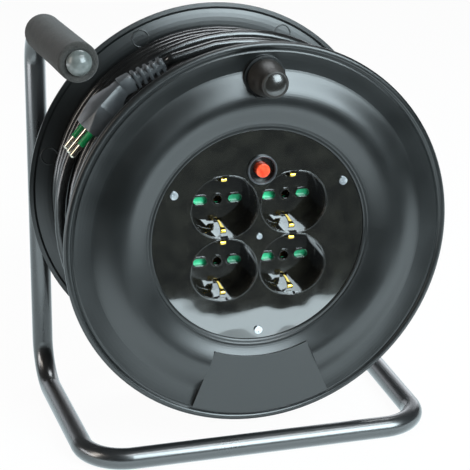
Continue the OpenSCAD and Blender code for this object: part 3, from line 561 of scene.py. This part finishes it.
def makeBoot():
    size = bootSize
    parts = [makeBootCore()]
    # one rib, then copies that grow towards the plug
    rib = size["rib"]
    first = boxAt((-rib["half"], -rib["half"], 0), (rib["half"], rib["half"], rib["thick"]))
    crownEnd(first, 1, rib["inset"], rib["rise"])
    roundEdges(first, rib["edge"], angle=40)
    for i in range(size["ribs"]):
        copy = copyOf(first)
        grow = size["grow"][0] + size["grow"][1] * i
        copy.scale = (grow, grow, 1)
        copy.location = (0, 0, (size["start"] + i * size["pitch"]) * mm)
        parts.append(copy)
    bpy.data.objects.remove(first)
    # two rails tie the ribs together, and a collar meets the block
    end = size["start"] + (size["ribs"] - 1) * size["pitch"] + rib["thick"]
    rail = size["rail"]
    x, y = rail["half"]
    for side in (-1, 1):
        bar = boxAt((-x, side * rail["out"] - y, rail["start"]),
                    (x, side * rail["out"] + y, end + rail["past"]))
        bpy.ops.object.mode_set(mode="OBJECT")
        roundEdges(bar, rail["edge"], segments=1)
        parts.append(bar)
    collar = size["collar"]
    x, y = collar["half"]
    sleeve = boxAt((-x, -y, end + collar["gap"]), (x, y, size["long"] + collar["past"]))
    crownEnd(sleeve, -1, collar["inset"], collar["rise"])
    roundEdges(sleeve, collar["edge"])
    parts.append(sleeve)
    boot = joinAll(parts)
    placeOnDrum(boot, size["angle"], size["radius"], plugSize["z"])
    return boot


def makePlug():
    block = joinAll([makePlugBlock(), makeBoot()])
    block.name = "plugMoulding"
    dress(block, softPvc())
    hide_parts("plug_body")
    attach(block, "drum")
    print("plug made:", len(block.data.polygons), "faces")
    return block


plug = makePlug()

clipSize = {
    "sockets": [(-22.5, 20.7), (22.5, 20.7), (-22.5, -20.7), (22.5, -20.7)],
    # distance from the socket's middle and height over the drum's centre plane, from the wall
    # to the busbar
    "line": [(18.9, 52.3), (18.3, 53.7), (17.3, 54.5), (16.3, 54.2), (15.7, 53.0), (15.3, 51.2),
             (14.9, 48.4), (14.3, 45.6), (13.8, 42.6), (13.8, 19.2)],
    "wide": [3.2, 3.7, 4.0, 4.0, 3.6, 2.9, 2.2, 1.8, 1.7, 1.7],
    "start": 0.2,         # length of the strip that is drawn out
    "across": 4,          # faces across it
    "thick": 0.7,
    "crown": 0.35,        # how far the middle of the strip stands over its edges
    "smooth": 2,          # times that it is subdivided
}


def drawStrip():
    # a narrow strip across, drawn out along the line of the clip
    size = clipSize
    line, wide = size["line"], size["wide"]
    deselectAll()
    bpy.ops.mesh.primitive_grid_add(x_subdivisions=size["across"], y_subdivisions=1, size=1)
    clip = bpy.context.object
    clip.scale = (wide[0] * mm, size["start"] * mm, 1)
    clip.location = (0, line[0][0] * mm, line[0][1] * mm)
    settle()
    bpy.ops.object.mode_set(mode="EDIT")
    bpy.ops.mesh.select_mode(type="EDGE")
    mesh = bmesh.from_edit_mesh(clip.data)
    pickNothing(mesh)
    for edge in mesh.edges:
        edge.select = all(v.co.y < line[0][0] * mm for v in edge.verts)
    mesh.select_flush(True)
    bmesh.update_edit_mesh(clip.data)
    for i in range(1, len(line)):
        step = (0, (line[i][0] - line[i - 1][0]) * mm, (line[i][1] - line[i - 1][1]) * mm)
        bpy.ops.mesh.extrude_edges_move(TRANSFORM_OT_translate={"value": step})
        bpy.ops.transform.resize(value=(wide[i] / wide[i - 1], 1, 1))
    bpy.ops.mesh.select_all(action="SELECT")
    bpy.ops.mesh.normals_make_consistent(inside=False)
    bpy.ops.object.mode_set(mode="OBJECT")
    half = max(wide) / 2 * mm
    for vertex in clip.data.vertices:
        vertex.co.y -= size["crown"] * mm * max(0.0, 1 - (vertex.co.x / half) ** 2)
    return clip


def makeClips():
    clip = drawStrip()
    wall = clip.modifiers.new("wall", "SOLIDIFY")
    wall.thickness = clipSize["thick"] * mm
    wall.offset = 0
    smooth = clip.modifiers.new("smooth", "SUBSURF")
    smooth.levels = clipSize["smooth"]
    smooth.render_levels = clipSize["smooth"]
    applyAll(clip)
    bpy.ops.object.shade_smooth()
    copies = []
    for x, y in clipSize["sockets"]:
        stand = Matrix(((1, 0, 0, x * mm), (0, 0, -1, 0), (0, 1, 0, (axleHeight + y) * mm),
                        (0, 0, 0, 1)))
        for side in (0, 1):
            copy = copyOf(clip)
            copy.matrix_world = stand @ Matrix.Rotation(math.pi * side, 4, "Z")
            copies.append(copy)
    bpy.data.objects.remove(clip)
    clips = joinAll(copies)
    settle()
    clips.name = "clipSet"
    dress(clips, rolledBrass())
    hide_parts("earth_clips")
    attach(clips, "drum")
    print("clips made:", len(clips.data.polygons), "faces")


makeClips()

springSize = {
    "reset": {"end": (1.0, -39.0, 191.1), "axis": (0, -1, 0), "coil": 3.0, "wire": 0.4,
              "long": 7.9, "turns": 5, "keep": 0.62},
    "shutter": {"axis": (0, 0, 1), "coil": 1.2, "wire": 0.25, "long": 9.88, "turns": 7,
                "keep": 0.41},
    "shutterEnds": {"top_left": (-31.4, -35.6, 152.16), "top_right": (13.6, -35.6, 152.16),
                    "bottom_left": (-31.4, -35.6, 110.76), "bottom_right": (13.6, -35.6, 110.76)},
    "sides": 8,           # round the wire
    "steps": 20,          # for each turn
    "closed": 2.15,       # pitch of the first and last turn, in wire radii
    "smooth": 50,         # degrees, as smoothAngle, but over the wire's own eight sides
}


def makeSpring(name, node, end, size, steel):
    # a ring of wire is screwed up along z, its end turns are pressed together, and it is stood
    # in its place
    wire, turns = size["wire"], size["turns"]
    steps, sides = springSize["steps"], springSize["sides"]
    deselectAll()
    bpy.ops.mesh.primitive_circle_add(vertices=sides, radius=wire * mm, fill_type="NOTHING",
                                      location=(size["coil"] * mm, 0, wire * mm),
                                      rotation=(math.pi / 2, 0, 0))
    spring = bpy.context.object
    settle()
    even = (size["long"] - 2 * wire) / turns
    screw = spring.modifiers.new("turns", "SCREW")
    screw.axis = "Z"
    screw.screw_offset = even * mm
    screw.iterations = turns
    screw.steps = steps
    screw.render_steps = steps
    applyAll(spring)
    tight = springSize["closed"] * wire
    wider = (size["long"] - 2 * wire - 2 * tight) / (turns - 2)
    for vertex in spring.data.vertices:
        at = vertex.index // sides / steps
        new = (tight * min(at, 1) + wider * min(max(at - 1, 0), turns - 2)
               + tight * max(at - turns + 1, 0))
        vertex.co.z += (new - even * at) * mm
    bpy.ops.object.mode_set(mode="EDIT")
    bpy.ops.mesh.select_all(action="SELECT")
    bpy.ops.mesh.fill_holes(sides=sides)
    bpy.ops.mesh.select_all(action="SELECT")
    bpy.ops.mesh.normals_make_consistent(inside=False)
    bpy.ops.object.mode_set(mode="OBJECT")
    bpy.ops.object.shade_smooth_by_angle(angle=math.radians(springSize["smooth"]))
    spring.matrix_world = (Matrix.Translation(Vector(end) * mm)
                           @ Vector(size["axis"]).to_track_quat("Z", "Y").to_matrix().to_4x4())
    settle()
    spring.name = name
    dress(spring, steel)
    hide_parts(node)
    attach(spring, "drum")
    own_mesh(spring)


def makeSprings():
    steel = springSteel()
    reset = springSize["reset"]
    makeSpring("resetCoil", "reset_spring", reset["end"], reset, steel)
    for corner in corners:
        makeSpring("shutterCoil_" + corner, "shutter_spring_" + corner,
                   springSize["shutterEnds"][corner],
                   springSize["shutter"], steel)
    print("springs made:", len(corners) + 1)


makeSprings()

cableSize = {
    "thick": 6.8,
    "gap": 0.5,           # between neighbouring turns
    "woundWidth": 222.0,  # over the full outer layer
    "layers": 5,
    "turns": 14,          # in each layer
    "face": 57.0,         # half the space between the flanges
    "faceGap": 0.4,       # between the last turn and the rear flange
    "bootRise": 2.3,      # how far the boot holds the cable over the loose turns
    "bootPart": 24,       # the boot covers one part in so many of a turn
    # the loose turns, in turns back from the boot: start and length of the drop to the drum's
    # side of the boot and of the crossing, start and end of the climb to the outer layer
    "drop": (0.01, 0.11),
    "crossing": (0.05, 0.8),
    "crossingWide": 24.0,
    "climbStart": 1.6,
    "climbEnd": 1.75,
    "layerClimb": 0.3,    # turns in which it changes layers
    "leadAngle": 180.0,   # the hole in the core
    "leadZ": 38.0,
    "coreWidth": 150.0,
    "outerSteps": 64,     # rings in a turn that shows
    "innerSteps": 24,
    "sides": 14,
}


def ease(t):
    t = min(1.0, max(0.0, t))
    return t * t * (3 - 2 * t)


def cableRoute():
    # the line of the whole cable in the drum's axes, from the plug's boot to the hole in the core
    size = cableSize
    half = size["thick"] / 2
    lay = size["thick"] + size["gap"]
    outer = size["woundWidth"] / 2 - half
    top = outer + lay
    bootR, bootZ = top + size["bootRise"], plugSize["z"]
    backZ = -size["face"] + size["faceGap"] + half
    middleZ = bootZ - size["crossingWide"]
    boot = math.radians(bootSize["angle"])
    start, end = size["climbStart"], size["climbEnd"]
    dropStart, dropLong = size["drop"]
    crossStart, crossLong = size["crossing"]

    def around(r, turn, z):
        angle = boot - 2 * math.pi * turn
        return Vector((r * math.cos(angle), r * math.sin(angle), z))

    def looseR(t):
        if t < dropStart + dropLong:
            return bootR + (top - bootR) * ease((t - dropStart) / dropLong)
        return top + (outer - top) * ease((t - start) / (end - start))

    def looseZ(t):
        if t < crossStart + crossLong:
            return bootZ - size["crossingWide"] * ease((t - crossStart) / crossLong)
        if t < start:
            return middleZ + (backZ - middleZ) * ease((t - 1) / (start - 1))
        return backZ + lay * (t - start)

    atBoot = around(bootR, 0, bootZ)
    line = [atBoot, atBoot + size["thick"] * Vector((math.sin(boot), -math.cos(boot), 0))]
    steps = size["outerSteps"]
    count = round((start + size["turns"]) * steps)
    line += [around(looseR(i / steps), i / steps, looseZ(i / steps))
             for i in range(math.ceil(steps / size["bootPart"]), count + 1)]
    # the inner layers go to and fro, each a cable's thickness further in
    turn = count / steps
    frontZ = backZ + lay * size["turns"]
    climb = size["layerClimb"]
    for layer in range(1, size["layers"]):
        high = outer - lay * (layer - 1)
        toBack = layer % 2 == 1
        fromZ, toZ = (frontZ, backZ) if toBack else (backZ, frontZ)
        last = layer == size["layers"] - 1
        if last:
            toZ = size["leadZ"]
        turns = abs(toZ - fromZ) / lay + climb
        if last:
            # stop where the hole is
            ends = (bootSize["angle"] - size["leadAngle"]) / 360 - (turn + turns)
            turns += ends % 1
        steps = round(turns * size["innerSteps"])
        for i in range(1, steps + 1):
            t = turns * i / steps
            r = high - lay * ease(t / climb)
            z = fromZ + (toZ - fromZ) * max(0, t - climb) / (turns - climb)
            line.append(around(r, turn + t, z))
        turn += turns
    line.append(Vector((-size["coreWidth"] / 2, 0, size["leadZ"])))
    return line


def sweepTube(name, line, radius, sides, upright):
    # a round tube along a line of points, with its length in metres in the UV map
    mesh = bmesh.new()
    uvLayer = mesh.loops.layers.uv.new("along")
    rings, marks, length = [], [], 0.0
    turns = [2 * math.pi * k / sides for k in range(sides)]
    for i, point in enumerate(line):
        before = line[max(0, i - 1)]
        after = line[min(len(line) - 1, i + 1)]
        ahead = (after - before).normalized()
        across = ahead.cross(upright(point)).normalized()
        over = across.cross(ahead)
        if i:
            length += (point - line[i - 1]).length
        marks.append(length)
        rings.append([mesh.verts.new(point + radius * (over * math.cos(a) + across * math.sin(a)))
                      for a in turns])
    for i in range(len(rings) - 1):
        for k in range(sides):
            n = (k + 1) % sides
            face = mesh.faces.new((rings[i][k], rings[i][n], rings[i + 1][n], rings[i + 1][k]))
            face.smooth = True
            ends = ((k, i), (k + 1, i), (k + 1, i + 1), (k, i + 1))
            for loop, (u, v) in zip(face.loops, ends):
                loop[uvLayer].uv = (u / sides * 2 * math.pi * radius, marks[v])
    mesh.faces.new(rings[0][::-1])
    mesh.faces.new(rings[-1])
    return finishMesh(name, mesh), length


def finishMesh(name, mesh):
    bmesh.ops.recalc_face_normals(mesh, faces=mesh.faces)
    data = bpy.data.meshes.new(name)
    mesh.to_mesh(data)
    mesh.free()
    piece = bpy.data.objects.new(name, data)
    bpy.context.scene.collection.objects.link(piece)
    return piece


def makeCable():
    line = [drumPoint(p.x, p.y, p.z) for p in cableRoute()]
    axis = Vector((0, 0, axleHeight * mm))

    def outward(point):
        away = point - axis
        away.y = 0
        return away

    cable, length = sweepTube("cable", line, cableSize["thick"] / 2 * mm, cableSize["sides"],
                              outward)
    dress(cable, pvcSheath())
    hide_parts("cable_pack", "cable_winding", "cable_lead")
    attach(cable, "drum")
    print("cable made:", round(length, 2), "m,", len(line), "points")


makeCable()

gripSize = {
    "back": (-114.777, 47.787, 260.666),   # the middles of its two ends, in mm
    "front": (-113.008, -58.059, 265.281),
    "radius": 12.2,
    "bore": 7.1,
    "edge": 1.9,          # rounding at both ends
    "arc": 6,             # steps in that rounding
    "rings": 54,
    "sides": 72,
    # how uneven the hand has left it: depths in mm, turns of the wave in radians for each mm
    "squeeze": {"deep": 0.06, "wave": 0.07, "start": 0.6, "swell": 0.01},
    "dents": {"deep": 0.05, "wave": 0.09, "around": 3},
}


def gripLine(long):
    # distance along the grip and radius of each ring, from the bore at one end to the other
    size = gripSize
    edge, radius, bore = size["edge"], size["radius"], size["bore"]
    arc = [math.radians(90 - 90 / size["arc"] * k) for k in range(size["arc"] + 1)]
    near = sorted((edge * (1 - math.sin(a)), radius - edge * (1 - math.cos(a))) for a in arc)
    middle = [(edge + (long - 2 * edge) * i / size["rings"], radius)
              for i in range(1, size["rings"])]
    far = [(long - z, r) for z, r in reversed(near)]
    return [(0.0, bore)] + near + middle + far + [(long, bore)]


def makeGrip():
    # foam sleeve turned round the line between its ends
    size = gripSize
    back, front = Vector(size["back"]) * mm, Vector(size["front"]) * mm
    along = (front - back).normalized()
    up = along.cross(Vector((1, 0, 0))).normalized()
    side = up.cross(along)
    squeeze, dents = size["squeeze"], size["dents"]
    mesh = bmesh.new()
    rings = []
    for z, r in gripLine((front - back).length / mm):
        ring = []
        for k in range(size["sides"]):
            turn = 2 * math.pi * k / size["sides"]
            dent = 0.0
            if r > size["bore"]:
                dent = squeeze["deep"] * math.sin(z * squeeze["wave"] + squeeze["start"])
                dent += squeeze["swell"]
                dent += dents["deep"] * math.sin(dents["around"] * turn + z * dents["wave"])
            out = side * math.cos(turn) + up * math.sin(turn)
            ring.append(mesh.verts.new(back + along * z * mm + out * (r + dent) * mm))
        rings.append(ring)
    count = len(rings)
    for i in range(count):
        here, after = rings[i], rings[(i + 1) % count]
        for k in range(size["sides"]):
            n = (k + 1) % size["sides"]
            face = mesh.faces.new((here[k], here[n], after[n], after[k]))
            face.smooth = i != count - 1
    grip = finishMesh("foamSleeve", mesh)
    dress(grip, nitrileFoam())
    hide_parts("foam_grip")
    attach(grip, "frame")
    print("grip made:", len(grip.data.polygons), "faces")


makeGrip()

stageSetup = {
    "floor": 8.0,
    "floorColour": "#f2f2f1",
    "whiteness": 0.96,    # share of plain white in the floor that the camera sees
    "paperEnd": -0.3,     # reflections find the paper's painted glow up to here, and near darkness past it
    "paperEdge": 0.01,    # half the width over which it fades
    "pastPaper": 0.06,
    "frontGlow": 2.4,     # painted reflection: how brightly the paper glows for reflections just in front of the reel
    "frontFrom": -0.04,   # where that glow starts, and where it is full
    "frontFull": -0.12,
    "tint": "#e8f9ff",
    "around": 0.05,       # light from the room itself
    "aim": (0, 0, 0.14),
    # degrees to the right of straight ahead and degrees up, then distance, width and height in
    # metres, watts, colour, and whether only the gloss picks the lamp up
    "lamps": {
        "keyLamp": (26, 28.5, 1.3, 0.85, 0.78, 31.0, "#e6f8ff", False),
        "tallLamp": (27, 59, 1.3, 0.9, 0.3, 6.5, "#f4fbff", True),
        "backCard": (137, 4, 0.62, 0.4, 0.34, 0.4, "#f2f8ff", True),
        "paperWall": (178, 4, 1.0, 2.2, 0.3, 2.3, "#f2f8ff", True),
        "sideLamp": (-78, 22, 1.2, 0.3, 0.8, 4.5, "#fff6ec", False),
        "leftCard": (-90, 1, 0.55, 0.3, 0.11, 0.5, "#f8faff", True),
        "backLamp": (165, 58, 1.3, 0.8, 0.5, 9.0, "#f6fbff", False),
    },
    # a card of light on the floor in front, that only the gloss picks up
    "strip": {"place": (0.1, -0.264, 0.002), "width": 0.24, "depth": 0.076, "watts": 0.122,
              "colour": "#e6f8ff"},
}


def makeFloor():
    setup = stageSetup
    bpy.ops.mesh.primitive_plane_add(size=setup["floor"])
    floor = bpy.context.object
    floor.name = "floor"
    material = bpy.data.materials.new("paperSheetAndPaintedGlow")
    material.use_nodes = True
    tree = material.node_tree
    tree.nodes.clear()
    # what the camera sees: plain white with the shadow of the reel
    matte = addNode(tree, "ShaderNodeBsdfDiffuse", {"Color": linear(setup["floorColour"])})
    glow = addNode(tree, "ShaderNodeEmission", {"Color": (1, 1, 1, 1), "Strength": 1.0})
    path = addNode(tree, "ShaderNodeLightPath")
    share = addNode(tree, "ShaderNodeMath", {"operation": "MULTIPLY", 1: setup["whiteness"]},
                    {0: path.outputs["Is Camera Ray"]})
    seen = addNode(tree, "ShaderNodeMixShader", {},
                   {0: share.outputs[0], 1: matte.outputs[0], 2: glow.outputs[0]})
    # what reflections find: a painted reflection, an emission standing in for lit paper that ends
    # in front of the reel and glows brighter close to it
    points = addNode(tree, "ShaderNodeTexCoord").outputs["Object"]
    depth = addNode(tree, "ShaderNodeSeparateXYZ", {}, {"Vector": points}).outputs["Y"]
    end, fade = setup["paperEnd"], setup["paperEdge"]
    edge = addNode(tree, "ShaderNodeMapRange", {"From Min": end - fade, "From Max": end + fade,
                                                "To Min": setup["pastPaper"], "To Max": 1},
                   {"Value": depth})
    front = addNode(tree, "ShaderNodeMapRange", {
        "From Min": setup["frontFull"], "From Max": setup["frontFrom"],
        "To Min": setup["frontGlow"], "To Max": 1}, {"Value": depth})
    strength = addNode(tree, "ShaderNodeMath", {"operation": "MULTIPLY"},
                       {0: edge.outputs["Result"], 1: front.outputs["Result"]})
    # painted reflection: this glow is seen only by glossy rays and is no lamp
    paintedPaperGlow = addNode(tree, "ShaderNodeEmission", {"Color": linear(setup["tint"])},
                    {"Strength": strength.outputs[0]})
    mixed = addNode(tree, "ShaderNodeMixShader", {}, {0: path.outputs["Is Glossy Ray"],
                                                      1: seen.outputs[0], 2: paintedPaperGlow.outputs[0]})
    addNode(tree, "ShaderNodeOutputMaterial", {}, {"Surface": mixed.outputs[0]})
    dress(floor, material)


def addLamp(name, place, aim, width, tall, watts, colour, glossOnly):
    bpy.ops.object.light_add(type="AREA", location=place)
    lamp = bpy.context.object
    lamp.name = name
    lamp.data.shape = "RECTANGLE"
    lamp.data.size = width
    lamp.data.size_y = tall
    lamp.data.energy = watts
    lamp.data.color = linear(colour)[:3]
    lamp.rotation_euler = aim.to_track_quat("-Z", "Y").to_euler()
    lamp.visible_diffuse = not glossOnly
    lamp.visible_camera = False
    return lamp


def makeLamps():
    middle = Vector(stageSetup["aim"])
    for name, setup in stageSetup["lamps"].items():
        side, height, distance, width, tall, watts, colour, glossOnly = setup
        side, height = math.radians(side), math.radians(height)
        away = Vector((math.sin(side) * math.cos(height), -math.cos(side) * math.cos(height),
                       math.sin(height)))
        addLamp(name, middle + away * distance, -away, width, tall, watts, colour, glossOnly)
    strip = stageSetup["strip"]
    lamp = addLamp("stripLamp", strip["place"], Vector((0, 0, 1)), strip["width"],
                   strip["depth"], strip["watts"], strip["colour"], True)
    lamp.rotation_euler = (math.pi, 0, 0)


def makeWorld():
    world = bpy.data.worlds.new("room")
    bpy.context.scene.world = world
    world.use_nodes = True
    tree = world.node_tree
    tree.nodes.clear()
    path = addNode(tree, "ShaderNodeLightPath")
    strength = addNode(tree, "ShaderNodeMapRange", {"To Min": stageSetup["around"], "To Max": 1.0},
                       {"Value": path.outputs["Is Camera Ray"]})
    sky = addNode(tree, "ShaderNodeBackground", {"Color": (1, 1, 1, 1)},
                  {"Strength": strength.outputs["Result"]})
    addNode(tree, "ShaderNodeOutputWorld", {}, {"Surface": sky.outputs[0]})


makeFloor()
makeLamps()
makeWorld()
bpy.context.scene.view_settings.view_transform = "Standard"
print("stage made")
